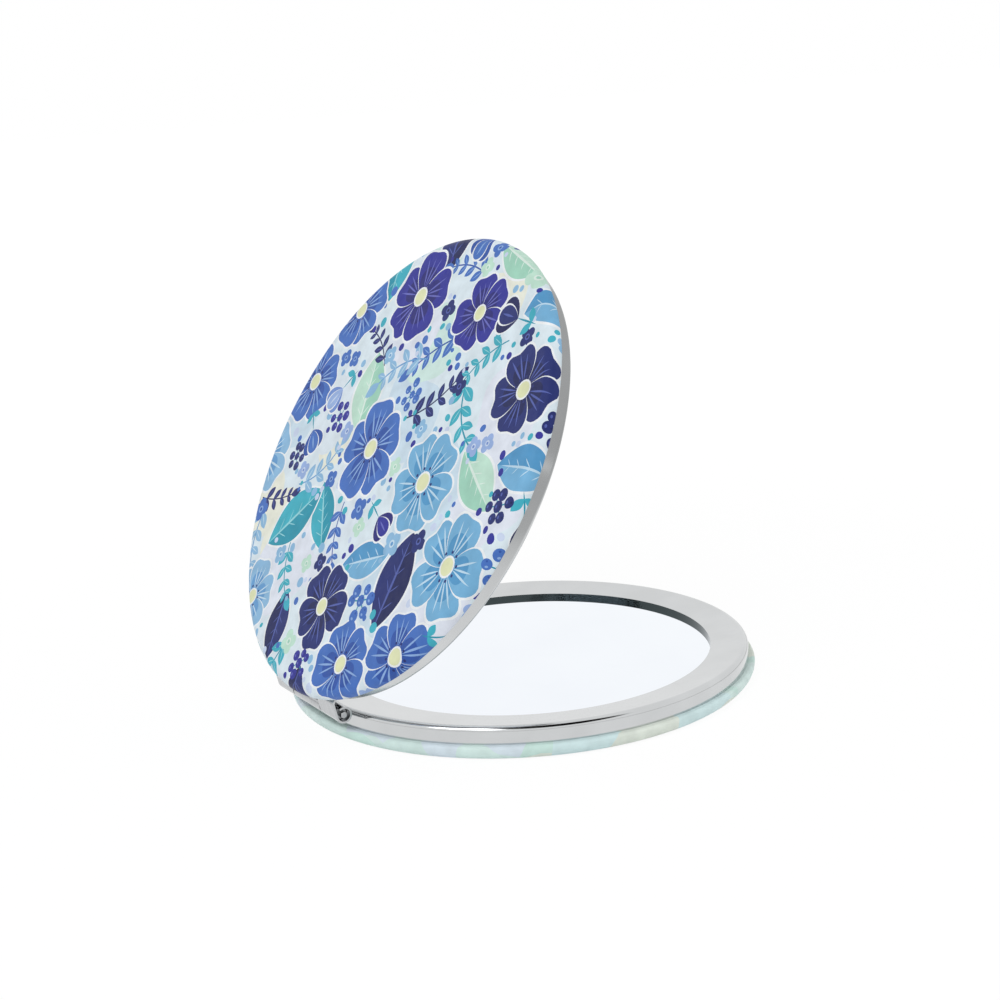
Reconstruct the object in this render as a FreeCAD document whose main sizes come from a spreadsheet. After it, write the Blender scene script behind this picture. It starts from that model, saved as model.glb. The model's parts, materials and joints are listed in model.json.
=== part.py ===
import FreeCAD, Part
import math
import os
import Sketcher

# Round pocket compact mirror, in millimetres.
# Two equal halves, the base and the lid, each a padded leather cover, a steel tray, a mirror and a
# chromed frame, joined at the back by a rolled sheet hinge. The origin is the centre of the base's
# underside, +Z is up, the hinge is on the -X side and its axis runs along Y.
# Each half is modelled lying flat with its mirror up, and the lid is then turned about the hinge.

# Driving sizes: alias, value, meaning
SIZES = (
    ("cover_radius", 35.0, "outside radius of the padded covers"),
    ("leather", 0.45, "leather skin of a cover"),
    ("foam", 0.45, "foam pad under the leather"),
    ("board", 0.75, "stiff board that the leather is wrapped around"),
    ("board_gap", 0.05, "gap between the board's edge and the leather"),
    ("edge_flat", 0.05, "straight stretch between the two rounds of a cover's edge"),
    ("hem_width", 10.0, "width of the leather hem turned in over the board"),
    ("tape_side_gap", 0.2, "gap between the cover tape and the hem"),
    ("cover_overhang", 0.9, "how far a cover stands out past the frame's wall"),
    ("tray_sheet", 0.3, "steel sheet of a tray"),
    ("press_gap", 0.05, "gap between a tray's rim and the frame's wall"),
    ("rim_gap", 0.6, "gap between the top of a tray's rim and the frame's face"),
    ("mirror_tape", 0.1, "tape behind a mirror"),
    ("mirror_tape_inset", 2.5, "distance from the mirror's edge to the tape's edge"),
    ("glass", 0.7, "mirror glass"),
    ("mirror_lap", 0.85, "how far the mirror reaches behind the frame's lip"),
    ("frame_sheet", 0.35, "sheet of a chromed frame"),
    ("face_width", 6.25, "mean width of a frame's face, from its wall to its opening"),
    ("face_rise", 0.94, "rise of a frame's dished face over its mean width"),
    ("opening_forward", 0.8, "how far the opening and the mirror sit forward, away from the hinge"),
    ("lip_step", 0.25, "depth of a frame's lip under its face, down to the mirror"),
    ("rim_round", 0.6, "round of a frame's outer edge"),
    ("magnet_side_gap", 0.35, "gap beside a closing magnet"),
    ("magnet_top_gap", 0.05, "least gap between a closing magnet and the frame's face"),
    ("hinge_reach", 0.8, "how far the hinge axis stands outside the frame's wall"),
    ("hinge_length", 19.2, "length of the hinge over its three knuckles"),
    ("centre_knuckle", 8.4, "width of the base's knuckle"),
    ("knuckle_gap", 0.2, "gap between two knuckles"),
    ("barrel_gap", 0.27, "gap between the knuckles and the frames"),
    ("pin_radius", 0.82, "radius of the hinge pin"),
    ("pin_gap", 0.08, "gap around the pin in its knuckles"),
    ("nose_radius", 0.48, "radius of the turned-down nose at each end of the pin"),
    ("nose_length", 1.2, "length of a nose"),
    ("nose_round", 0.12, "round of a nose's end"),
    ("leaf_sheet", 0.3, "sheet of the hinge leaves"),
    ("flange_gap", 0.8, "gap between a leaf's inner end and the mirror's edge"),
    ("curl_end", 0.45, "how far past the pin, towards the mirror, a rolled knuckle ends"),
    ("slot_gap", 0.25, "gap around a leaf where it passes the tray's rim and the frame's wall"),
    ("closing_gap", 0.12, "gap between the two frames' rim planes when the lid is shut"),
    ("opening_angle", 58.2, "degrees that the lid stands open"),
)

# Sizes that follow from the driving sizes: alias, formula
LEVELS = (
    ("edge_round", "=Sizes.foam + Sizes.board + Sizes.leather - Sizes.edge_flat"),
    ("edge_inside", "=edge_round - Sizes.leather"),
    ("board_foot", "=Sizes.leather + Sizes.foam"),
    ("hem_foot", "=board_foot + Sizes.board"),
    ("cover_top", "=hem_foot + Sizes.leather"),
    ("cover_inside", "=Sizes.cover_radius - Sizes.leather"),
    ("foam_radius", "=Sizes.cover_radius - edge_round"),
    ("board_reach", "=sqrt(edge_inside^2 - (edge_inside - Sizes.foam)^2)"),
    ("board_radius", "=foam_radius + board_reach - Sizes.board_gap"),
    ("hem_radius", "=Sizes.cover_radius - Sizes.hem_width"),
    ("cover_tape_radius", "=hem_radius - Sizes.tape_side_gap"),
    ("tray_top", "=cover_top + Sizes.tray_sheet"),
    ("wall_radius", "=Sizes.cover_radius - Sizes.cover_overhang"),
    ("wall_inside", "=wall_radius - Sizes.frame_sheet"),
    ("tray_radius", "=wall_inside - Sizes.press_gap"),
    ("tray_inside", "=tray_radius - Sizes.tray_sheet"),
    ("opening_radius", "=wall_radius - Sizes.face_width"),
    ("lip_outside", "=opening_radius + Sizes.frame_sheet"),
    ("lip_height", "=Sizes.lip_step + Sizes.frame_sheet / 2"),
    ("mirror_radius", "=opening_radius + Sizes.mirror_lap"),
    ("mirror_foot", "=tray_top + Sizes.mirror_tape"),
    ("mirror_face", "=mirror_foot + Sizes.glass"),
    ("mirror_tape_radius", "=mirror_radius - Sizes.mirror_tape_inset"),
    ("face_foot", "=mirror_face + Sizes.lip_step"),
    ("lip_top", "=face_foot + Sizes.frame_sheet"),
    ("frame_top", "=lip_top + Sizes.face_rise"),
    ("face_head", "=frame_top - Sizes.frame_sheet"),
    ("face_end", "=opening_radius - 2 * Sizes.opening_forward"),
    ("end_drop", "=2 * Sizes.opening_forward * Sizes.face_rise / Sizes.face_width"),
    ("face_end_top", "=lip_top - end_drop"),
    ("face_end_foot", "=face_foot - end_drop"),
    ("opening_cut", "=2 * frame_top + Sizes.face_rise"),
    ("rim_top", "=face_head - Sizes.rim_gap"),
    ("mirror_front", "=mirror_radius + Sizes.opening_forward"),
    ("magnet_space", "=tray_inside - mirror_front"),
    ("magnet_radius", "=magnet_space / 2 - Sizes.magnet_side_gap"),
    ("magnet_across", "=mirror_front + magnet_space / 2"),
    ("magnet_height", "=face_foot - tray_top - Sizes.magnet_top_gap"),
    ("hinge_across", "=wall_radius + Sizes.hinge_reach"),
    ("hinge_height", "=frame_top + Sizes.closing_gap / 2"),
    ("bore_radius", "=Sizes.pin_radius + Sizes.pin_gap"),
    ("barrel_radius", "=bore_radius + Sizes.leaf_sheet"),
    ("relief_radius", "=barrel_radius + Sizes.barrel_gap"),
    ("relief_across", "=hinge_across - relief_radius"),
    ("relief_foot", "=hinge_height - relief_radius"),
    ("relief_width", "=Sizes.hinge_length + 2 * Sizes.barrel_gap"),
    ("leaf_top", "=tray_top + Sizes.leaf_sheet"),
    ("leaf_end_across", "=mirror_radius - Sizes.opening_forward + Sizes.flange_gap"),
    ("slot_top", "=leaf_top + Sizes.slot_gap"),
    ("base_leaf_width", "=Sizes.centre_knuckle"),
    ("lid_leaf_width", "=Sizes.hinge_length"),
    ("base_slot_width", "=base_leaf_width + 2 * Sizes.slot_gap"),
    ("lid_slot_width", "=lid_leaf_width + 2 * Sizes.slot_gap"),
    ("notch_width", "=Sizes.centre_knuckle + 2 * Sizes.knuckle_gap"),
    ("pin_half", "=Sizes.hinge_length / 2"),
    ("shank_half", "=pin_half - Sizes.nose_length"),
    ("outside_across", "=hinge_across + 2 * barrel_radius"),
    ("above_hinge", "=hinge_height + 2 * barrel_radius"),
    ("nothing", "=0"),
)

# Edges are matched to a named radius and height within this distance
MATCH = 0.001

doc = FreeCAD.newDocument("compact_mirror")


def fill_sheet(name, rows):
    """A spreadsheet with one aliased cell per row."""
    sheet = doc.addObject("Spreadsheet::Sheet", name)
    for number, row in enumerate(rows, start=1):
        sheet.set(f"A{number}", row[-1] if len(row) == 3 else row[0])
        sheet.set(f"B{number}", str(row[1]))
        sheet.setAlias(f"B{number}", row[0])
    doc.recompute()
    return sheet


sizes_sheet = fill_sheet("Sizes", SIZES)
levels_sheet = fill_sheet("Levels", LEVELS)
SIZE_NAMES = {row[0] for row in SIZES}


def cell(alias):
    """The full name of an alias, for an expression."""
    sheet_name = "Sizes" if alias in SIZE_NAMES else "Levels"
    return f"{sheet_name}.{alias}"


def value(alias):
    """The present number in an aliased cell."""
    sheet = sizes_sheet if alias in SIZE_NAMES else levels_sheet
    return float(sheet.get(alias))


# Sketches

def origin_plane(body, role):
    """One of the three planes of a body's own origin."""
    return next(plane for plane in body.Origin.OriginFeatures if plane.Role == role)


def new_sketch(body, name, role):
    """An empty sketch on one of the body's origin planes."""
    sketch = body.newObject("Sketcher::SketchObject", name)
    sketch.AttachmentSupport = [(origin_plane(body, role), "")]
    sketch.MapMode = "FlatFace"
    return sketch


def bind(sketch, constraint, expression):
    """Adds a constraint and ties its size to an expression."""
    index = sketch.addConstraint(constraint)
    sketch.setExpression(f"Constraints[{index}]", expression)


def pin_point(sketch, geometry, end, across, up):
    """Ties a point to named distances from the sketch's origin; each is (sign, alias)."""
    for kind, axis, (sign, alias) in (("DistanceX", -2, across), ("DistanceY", -1, up)):
        distance = sign * value(alias)
        if alias == "nothing":
            sketch.addConstraint(Sketcher.Constraint("PointOnObject", geometry, end, axis))
        else:
            constraint = Sketcher.Constraint(kind, -1, 1, geometry, end, distance)
            bind(sketch, constraint, f"{sign} * {cell(alias)}")


def draw_outline(body, name, role, corners):
    """A closed outline of straight lines; each corner is two named distances, across and up."""
    sketch = new_sketch(body, name, role)
    signed = [[name if isinstance(name, tuple) else (1, name) for name in corner] for corner in corners]
    points = [FreeCAD.Vector(a[0] * value(a[1]), u[0] * value(u[1]), 0) for a, u in signed]
    count = len(points)
    for index, point in enumerate(points):
        sketch.addGeometry(Part.LineSegment(point, points[(index + 1) % count]))
    for index in range(count):
        sketch.addConstraint(Sketcher.Constraint("Coincident", index, 2, (index + 1) % count, 1))
    for index, (across, up) in enumerate(signed):
        pin_point(sketch, index, 1, across, up)
    return sketch


def draw_frame_section(body, name):
    """A frame's wall and dished face, with a round where they meet at the rim."""
    sketch = new_sketch(body, name, "XZ_Plane")

    def spot(across, up):
        return FreeCAD.Vector(value(across), value(up), 0)

    rim = ("wall_radius", "frame_top")
    chain = (
        ("face_end", "face_end_top"),
        ("face_end", "face_end_foot"),
        ("wall_inside", "face_head"),
        ("wall_inside", "cover_top"),
        ("wall_radius", "cover_top"),
    )
    points = [spot(*place) for place in chain]
    corner = spot(*rim)
    radius = value("rim_round")
    down = (points[-1] - corner).normalize()
    inward = (points[0] - corner).normalize()
    half_angle = down.getAngle(inward) / 2
    setback = radius / math.tan(half_angle)
    between = (down + inward).normalize()
    arc_middle = corner + between * (radius / math.sin(half_angle) - radius)
    wall_end = corner + down * setback
    face_start = corner + inward * setback

    lines = [sketch.addGeometry(Part.LineSegment(*ends)) for ends in zip(points, points[1:])]
    wall = sketch.addGeometry(Part.LineSegment(points[-1], wall_end))
    rounding = sketch.addGeometry(Part.Arc(wall_end, arc_middle, face_start))
    face = sketch.addGeometry(Part.LineSegment(face_start, points[0]))
    meeting = sketch.addGeometry(Part.Point(corner), True)

    outline = [face] + lines + [wall]
    for line, following in zip(outline, outline[1:]):
        sketch.addConstraint(Sketcher.Constraint("Coincident", line, 2, following, 1))
    sketch.addConstraint(Sketcher.Constraint("Tangent", wall, 2, rounding, 1))
    sketch.addConstraint(Sketcher.Constraint("Tangent", rounding, 2, face, 1))
    for line in (wall, face):
        sketch.addConstraint(Sketcher.Constraint("PointOnObject", meeting, 1, line))
    starts = zip(lines + [wall, meeting], chain + (rim,))
    for geometry, (across, up) in starts:
        pin_point(sketch, geometry, 1, (1, across), (1, up))
    bind(sketch, Sketcher.Constraint("Radius", rounding, radius), cell("rim_round"))
    return sketch


def draw_circle(body, name, radius, across, foot):
    """A circle of a named radius about a named point on the X axis, in a level plane at a named height."""
    sketch = new_sketch(body, name, "XY_Plane")
    centre = FreeCAD.Vector(value(across), 0, 0)
    sketch.addGeometry(Part.Circle(centre, FreeCAD.Vector(0, 0, 1), value(radius)))
    pin_point(sketch, 0, 3, (1, across), (1, "nothing"))
    bind(sketch, Sketcher.Constraint("Radius", 0, value(radius)), cell(radius))
    sketch.setExpression(".AttachmentOffset.Base.z", cell(foot))
    return sketch


def draw_ring(body, name, inner, outer, across, foot):
    """Two circles of named radii about a named point on the X axis, in a level plane at a named height."""
    sketch = draw_circle(body, name, outer, across, foot)
    centre = FreeCAD.Vector(value(across), 0, 0)
    hole = sketch.addGeometry(Part.Circle(centre, FreeCAD.Vector(0, 0, 1), value(inner)))
    sketch.addConstraint(Sketcher.Constraint("Coincident", hole, 3, 0, 3))
    bind(sketch, Sketcher.Constraint("Radius", hole, value(inner)), cell(inner))
    return sketch


# Features

def new_body(label):
    body = doc.addObject("PartDesign::Body", label)
    body.Label = label
    return body


def revolve(body, sketch):
    """Turns an outline in the XZ plane about the Z axis."""
    feature = body.newObject("PartDesign::Revolution", f"{body.Name}_turned")
    feature.Profile = sketch
    feature.ReferenceAxis = (sketch, ["V_Axis"])
    feature.Angle = 360
    doc.recompute()
    return feature


def pad(body, sketch, length, symmetric=False):
    """Raises a sketch by a named length."""
    feature = body.newObject("PartDesign::Pad", f"{body.Name}_raised")
    feature.Profile = sketch
    feature.SideType = "Symmetric" if symmetric else "One side"
    feature.setExpression("Length", cell(length))
    doc.recompute()
    return feature


def cut_across(body, name, width, sketch):
    """Cuts a sketch out of a body, over a named width shared by the two sides of the sketch."""
    before = body.Shape.Volume
    feature = body.newObject("PartDesign::Pocket", name)
    feature.Profile = sketch
    feature.SideType = "Symmetric"
    feature.setExpression("Length", cell(width))
    doc.recompute()
    if not feature.Shape.Volume < before:
        raise ValueError(f"{name} removed nothing")
    return feature


def round_edges(body, base, name, radius, circles):
    """Rounds the circular edges that lie at named radii and named heights, above or below the origin."""
    edges = []
    for number, edge in enumerate(base.Shape.Edges, start=1):
        if not isinstance(edge.Curve, Part.Circle):
            continue
        for across, up in circles:
            same_radius = abs(edge.Curve.Radius - value(across)) < MATCH
            same_height = abs(abs(edge.Curve.Center.z) - value(up)) < MATCH
            if same_radius and same_height:
                edges.append(f"Edge{number}")
    if not edges:
        raise ValueError(f"{name} found no edge")
    feature = body.newObject("PartDesign::Fillet", name)
    feature.Base = (base, edges)
    feature.setExpression("Radius", cell(radius))
    doc.recompute()
    return feature


def disc(label, radius, foot, thickness, across="nothing"):
    """A plain disc lying at a named height."""
    body = new_body(label)
    pad(body, draw_circle(body, f"{label}_circle", radius, across, foot), thickness)
    return body


# The pieces of one half, lying flat with the mirror up

def make_cover(half):
    """The leather skin: flat underneath, rounded up at its edge and turned in as a hem."""
    body = new_body(f"{half}_cover")
    corners = (
        ("nothing", "nothing"),
        ("cover_radius", "nothing"),
        ("cover_radius", "cover_top"),
        ("hem_radius", "cover_top"),
        ("hem_radius", "hem_foot"),
        ("cover_inside", "hem_foot"),
        ("cover_inside", "leather"),
        ("nothing", "leather"),
    )
    skin = revolve(body, draw_outline(body, f"{half}_cover_outline", "XZ_Plane", corners))
    skin = round_edges(body, skin, f"{half}_cover_edge", "edge_round", [("cover_radius", "nothing")])
    skin = round_edges(body, skin, f"{half}_cover_inside", "edge_inside", [("cover_inside", "leather")])
    round_edges(body, skin, f"{half}_cover_fold", "leather", [("cover_radius", "cover_top")])
    return body


def make_tray(half):
    """The steel back pan, with a gap in its rim for the hinge leaf."""
    body = new_body(f"{half}_tray")
    corners = (
        ("nothing", "cover_top"),
        ("tray_radius", "cover_top"),
        ("tray_radius", "rim_top"),
        ("tray_inside", "rim_top"),
        ("tray_inside", "tray_top"),
        ("nothing", "tray_top"),
    )
    revolve(body, draw_outline(body, f"{half}_tray_outline", "XZ_Plane", corners))
    gap = (
        ((-1, "outside_across"), "tray_top"),
        ((-1, "leaf_end_across"), "tray_top"),
        ((-1, "leaf_end_across"), "above_hinge"),
        ((-1, "outside_across"), "above_hinge"),
    )
    sketch = draw_outline(body, f"{half}_tray_gap_outline", "XZ_Plane", gap)
    cut_across(body, f"{half}_tray_gap", f"{half}_slot_width", sketch)
    return body


def make_frame(half):
    """The chromed ring: side wall, dished face and a lip, with a slot and a relief for the hinge."""
    body = new_body(f"{half}_frame")
    revolve(body, draw_frame_section(body, f"{half}_frame_section"))
    sketch = draw_circle(body, f"{half}_opening_circle", "opening_radius", "opening_forward", "nothing")
    cut_across(body, f"{half}_frame_opening", "opening_cut", sketch)
    sketch = draw_ring(body, f"{half}_lip_circles", "opening_radius", "lip_outside", "opening_forward",
                       "mirror_face")
    pad(body, sketch, "lip_height")
    relief = (
        ((-1, "outside_across"), "relief_foot"),
        ((-1, "relief_across"), "relief_foot"),
        ((-1, "relief_across"), "above_hinge"),
        ((-1, "outside_across"), "above_hinge"),
    )
    sketch = draw_outline(body, f"{half}_frame_relief_outline", "XZ_Plane", relief)
    cut_across(body, f"{half}_frame_relief", "relief_width", sketch)
    slot = (
        ((-1, "outside_across"), "nothing"),
        ((-1, "leaf_end_across"), "nothing"),
        ((-1, "leaf_end_across"), "slot_top"),
        ((-1, "outside_across"), "slot_top"),
    )
    sketch = draw_outline(body, f"{half}_frame_slot_outline", "XZ_Plane", slot)
    cut_across(body, f"{half}_frame_slot", f"{half}_slot_width", sketch)
    return body


def draw_leaf(body, name):
    """The side view of a hinge leaf: a flange, a sloping plate and a knuckle rolled round the pin."""
    sketch = new_sketch(body, name, "XZ_Plane")
    axis = FreeCAD.Vector(-value("hinge_across"), value("hinge_height"), 0)
    foot = FreeCAD.Vector(-value("wall_radius"), value("tray_top"), 0)
    flange_end = FreeCAD.Vector(-value("leaf_end_across"), value("tray_top"), 0)
    sheet = FreeCAD.Vector(0, value("leaf_sheet"), 0)
    outer, inner = value("barrel_radius"), value("bore_radius")

    # The plate's underside touches the barrel on the side away from the mirror
    to_foot = foot - axis
    sine = outer / to_foot.Length
    cosine = (1 - sine ** 2) ** 0.5
    along = to_foot / to_foot.Length
    side = FreeCAD.Vector(along.y, -along.x, 0)
    facing = along * sine + side * cosine
    end_up = -(outer ** 2 - value("curl_end") ** 2) ** 0.5
    end_facing = FreeCAD.Vector(value("curl_end"), end_up, 0) / outer
    touch_outer, touch_inner = axis + facing * outer, axis + facing * inner
    end_outer, end_inner = axis + end_facing * outer, axis + end_facing * inner
    slope = (foot - touch_outer) / (foot - touch_outer).Length
    inner_foot = touch_inner + slope * ((touch_inner.y - foot.y - sheet.y) / -slope.y)

    def roll(start, radius, end):
        over_top = axis + FreeCAD.Vector(0, radius, 0)
        return Part.Arc(start, over_top, end)

    sketch.addGeometry(Part.LineSegment(flange_end, foot))
    sketch.addGeometry(Part.LineSegment(foot, touch_outer))
    sketch.addGeometry(roll(end_outer, outer, touch_outer))
    sketch.addGeometry(Part.LineSegment(end_outer, end_inner))
    sketch.addGeometry(roll(end_inner, inner, touch_inner))
    sketch.addGeometry(Part.LineSegment(touch_inner, inner_foot))
    sketch.addGeometry(Part.LineSegment(inner_foot, flange_end + sheet))
    sketch.addGeometry(Part.LineSegment(flange_end + sheet, flange_end))
    flange_under, plate_under, roll_outside, roll_end = range(4)
    roll_inside, plate_over, flange_over, flange_close = range(4, 8)

    joins = (
        ("Coincident", flange_under, 2, plate_under, 1),
        ("Tangent", plate_under, 2, roll_outside, 2),
        ("Coincident", roll_outside, 1, roll_end, 1),
        ("Coincident", roll_end, 2, roll_inside, 1),
        ("Tangent", roll_inside, 2, plate_over, 1),
        ("Coincident", plate_over, 2, flange_over, 1),
        ("Coincident", flange_over, 2, flange_close, 1),
        ("Coincident", flange_close, 2, flange_under, 1),
        ("Coincident", roll_outside, 3, roll_inside, 3),
        ("PointOnObject", roll_outside, 3, roll_end),
        ("Parallel", plate_under, plate_over),
        ("Horizontal", flange_under),
        ("Horizontal", flange_over),
        ("Vertical", flange_close),
    )
    for join in joins:
        sketch.addConstraint(Sketcher.Constraint(*join))
    pin_point(sketch, roll_outside, 3, (-1, "hinge_across"), (1, "hinge_height"))
    pin_point(sketch, flange_under, 1, (-1, "leaf_end_across"), (1, "tray_top"))
    bind(sketch, Sketcher.Constraint("DistanceX", -1, 1, plate_under, 1, foot.x),
         f"-1 * {cell('wall_radius')}")
    bind(sketch, Sketcher.Constraint("DistanceY", flange_under, 1, flange_over, 2, sheet.y),
         cell("leaf_sheet"))
    bind(sketch, Sketcher.Constraint("DistanceX", roll_outside, 3, roll_outside, 1, value("curl_end")),
         cell("curl_end"))
    bind(sketch, Sketcher.Constraint("Radius", roll_outside, outer), cell("barrel_radius"))
    bind(sketch, Sketcher.Constraint("Radius", roll_inside, inner), cell("bore_radius"))
    return sketch


def make_leaf(half):
    """One hinge leaf, as wide as its knuckles."""
    body = new_body(f"{half}_hinge_leaf")
    pad(body, draw_leaf(body, f"{half}_leaf_side"), f"{half}_leaf_width", symmetric=True)
    return body


def notch_leaf(body):
    """Takes out the middle of the lid's leaf, where the base's knuckle sits."""
    notch = (
        ((-1, "outside_across"), "nothing"),
        ((-1, "relief_across"), "nothing"),
        ((-1, "relief_across"), "above_hinge"),
        ((-1, "outside_across"), "above_hinge"),
    )
    sketch = draw_outline(body, "lid_leaf_notch_outline", "XZ_Plane", notch)
    cut_across(body, "lid_leaf_notch", "notch_width", sketch)


def make_half(half):
    """The ten pieces of one half, lying flat."""
    return [
        make_cover(half),
        disc(f"{half}_foam", "foam_radius", "leather", "foam"),
        disc(f"{half}_board", "board_radius", "board_foot", "board"),
        disc(f"{half}_cover_tape", "cover_tape_radius", "hem_foot", "leather"),
        make_tray(half),
        make_leaf(half),
        disc(f"{half}_magnet", "magnet_radius", "tray_top", "magnet_height", "magnet_across"),
        disc(f"{half}_mirror_tape", "mirror_tape_radius", "tray_top", "mirror_tape", "opening_forward"),
        disc(f"{half}_mirror", "mirror_radius", "mirror_foot", "glass", "opening_forward"),
        make_frame(half),
    ]


def make_pin():
    """The hinge pin, turned down to a nose at each end, modelled along Z."""
    body = new_body("hinge_pin")
    corners = (
        ("nothing", (-1, "pin_half")),
        ("nose_radius", (-1, "pin_half")),
        ("nose_radius", (-1, "shank_half")),
        ("pin_radius", (-1, "shank_half")),
        ("pin_radius", "shank_half"),
        ("nose_radius", "shank_half"),
        ("nose_radius", "pin_half"),
        ("nothing", "pin_half"),
    )
    rod = revolve(body, draw_outline(body, "pin_outline", "XZ_Plane", corners))
    round_edges(body, rod, "pin_nose_ends", "nose_round", [("nose_radius", "pin_half")])
    return body


# Places

def lid_placement():
    """Turns a flat half round to the far side of the hinge, then swings it up to the opening angle."""
    hinge = FreeCAD.Vector(-value("hinge_across"), 0, value("hinge_height"))
    half_turn = FreeCAD.Rotation(FreeCAD.Vector(0, 0, 1), 180)
    beside = FreeCAD.Placement(FreeCAD.Vector(2 * hinge.x, 0, 0), half_turn)
    swing = FreeCAD.Rotation(FreeCAD.Vector(0, 1, 0), 180 - value("opening_angle"))
    return FreeCAD.Placement(FreeCAD.Vector(), swing, hinge).multiply(beside)


def pin_placement():
    """Lays the pin along the hinge axis."""
    hinge = FreeCAD.Vector(-value("hinge_across"), 0, value("hinge_height"))
    return FreeCAD.Placement(hinge, FreeCAD.Rotation(FreeCAD.Vector(1, 0, 0), 90))


base_pieces = make_half("base")
lid_pieces = make_half("lid")
notch_leaf(next(piece for piece in lid_pieces if piece.Label == "lid_hinge_leaf"))
hinge_pin = make_pin()

for piece in base_pieces:
    piece.Placement = FreeCAD.Placement()
for piece in lid_pieces:
    piece.Placement = lid_placement()
hinge_pin.Placement = pin_placement()
doc.recompute()

# Nothing is written unless every feature and every piece is sound
pieces = base_pieces + lid_pieces + [hinge_pin]
for feature in doc.Objects:
    if "Invalid" in feature.State or "Error" in feature.State:
        raise ValueError(f"{feature.Label} failed: {feature.State}")
for piece in pieces:
    if piece.Shape.isNull() or not piece.Shape.isValid():
        raise ValueError(f"{piece.Label} is not a sound solid")

os.makedirs("parts", exist_ok=True)
for piece in pieces:
    piece.Shape.exportStep(f"parts/{piece.Label}.step")
    box = piece.Shape.optimalBoundingBox()
    print(f"{piece.Label}: {len(piece.Shape.Solids)} solid, {piece.Shape.Volume:.2f} mm3, "
          f"{box.XLength:.2f} x {box.YLength:.2f} x {box.ZLength:.2f}")
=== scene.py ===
import json
import math
import random

import bmesh
import bpy
import numpy as np
from mathutils import Matrix, Vector
from mathutils.geometry import delaunay_2d_cdt


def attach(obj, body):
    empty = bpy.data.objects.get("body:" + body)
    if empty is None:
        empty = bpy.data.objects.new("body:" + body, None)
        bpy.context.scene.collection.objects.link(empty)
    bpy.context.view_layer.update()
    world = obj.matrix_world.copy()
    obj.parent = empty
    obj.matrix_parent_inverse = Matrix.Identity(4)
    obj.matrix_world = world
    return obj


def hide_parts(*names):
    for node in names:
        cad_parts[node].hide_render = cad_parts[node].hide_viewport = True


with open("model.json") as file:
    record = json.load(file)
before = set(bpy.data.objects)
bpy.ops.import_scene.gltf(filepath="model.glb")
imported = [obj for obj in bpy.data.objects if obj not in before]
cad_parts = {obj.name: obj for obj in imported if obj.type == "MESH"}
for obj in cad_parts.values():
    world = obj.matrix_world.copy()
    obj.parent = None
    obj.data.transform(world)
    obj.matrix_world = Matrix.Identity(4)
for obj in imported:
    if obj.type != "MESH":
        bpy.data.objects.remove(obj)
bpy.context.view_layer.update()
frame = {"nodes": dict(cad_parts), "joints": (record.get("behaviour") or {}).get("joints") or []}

# A round compact mirror standing open: printed leather covers, chromed frames, mirrors and a rolled hinge.
# Shapes are worked out in millimetres for one half lying flat with its mirror up, then set in place
# in metres.

MM = 0.001
TAU = 2 * math.pi
QUARTER_TURN = math.pi / 2

# Sizes in millimetres, the same as the CAD model's
COVER_RADIUS = 35.0
COVER_TOP = 2.1
EDGE_ROUND = 1.6
EDGE_FLAT = 0.05
LEATHER = 0.45
HEM_INNER = 25.0
WALL_RADIUS = 34.1
OPENING_RADIUS = 27.85
OPENING_FORWARD = 0.8
FRAME_SHEET = 0.35
FRAME_TOP = 4.74
LIP_TOP = 3.8
MIRROR_FACE = 3.2
TRAY_TOP = 2.4
BORE_RADIUS = 0.9
BARREL_RADIUS = 1.2
BARREL_GAP = 0.27
LEAF_SHEET = 0.3
LEAF_END = 28.7
CURL_END = 0.45
HINGE_LENGTH = 19.2
CENTRE_KNUCKLE = 8.4
KNUCKLE_GAP = 0.2
SLOT_GAP = 0.25
PIN_RADIUS = 0.82
NOSE_RADIUS = 0.48
NOSE_LENGTH = 1.2
NOSE_ROUND = 0.12

# Rounds of the ring: at the rim, a little rounder than the CAD model's, inside it and at the opening
RIM_ROUND = 0.75
RIM_INSIDE = RIM_ROUND - FRAME_SHEET
LIP_ROUND = 0.06

# Bends at the foot of a hinge leaf's slope, outside and inside, and the break of the leaf's edges
BEND_OUTSIDE = 0.4
BEND_INSIDE = 0.1
LEAF_EDGE = 0.05

joint = frame["joints"][0]
HINGE = Vector(joint["pos_m"]) / MM
OPENING = -joint["range_deg"][0]
AXIS = Vector((HINGE.x, HINGE.z))
RELIEF_RADIUS = BARREL_RADIUS + BARREL_GAP
RELIEF_X = HINGE.x + RELIEF_RADIUS

# Fineness of the meshes: divisions around a half and around the pin, then along each kind of curve
AROUND = 256
PIN_AROUND = 64
ARC_STEPS = 10
LIP_STEPS = 4
INSIDE_STEPS = 6
BEND_STEPS = 5
CURL_STEPS = 56
EDGE_STEPS = 12
FOLD_STEPS = 6

# Angles in degrees above which an edge is shaded as sharp
RING_SHARP = 28
HINGE_SHARP = 40

# Camera, from the outlines of both halves in the photograph; angles in degrees, lengths in millimetres
CAMERA_AZIMUTH = -30.611
CAMERA_ELEVATION = 13.887
CAMERA_ROLL = -3.677
CAMERA_DISTANCE = 271.392
CAMERA_RIGHT = 3.569
CAMERA_UP = -26.424
FOCAL_PIXELS = 1779.754
IMAGE_PIXELS = 1000
SENSOR = 36.0
# Nearest distance that the camera sees, in metres
CLIP_START = 0.01


def direction(azimuth_degrees, elevation_degrees):
    """The direction from the object to a place around it, and the level direction to that place's right."""
    azimuth = math.radians(azimuth_degrees)
    elevation = math.radians(elevation_degrees)
    level = math.cos(elevation)
    back = Vector((math.sin(azimuth) * level, -math.cos(azimuth) * level, math.sin(elevation)))
    right = Vector((math.cos(azimuth), math.sin(azimuth), 0))
    return back, right


def add_object(name, data):
    """A new object in the scene."""
    added = bpy.data.objects.new(name, data)
    bpy.context.scene.collection.objects.link(added)
    return added


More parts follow.
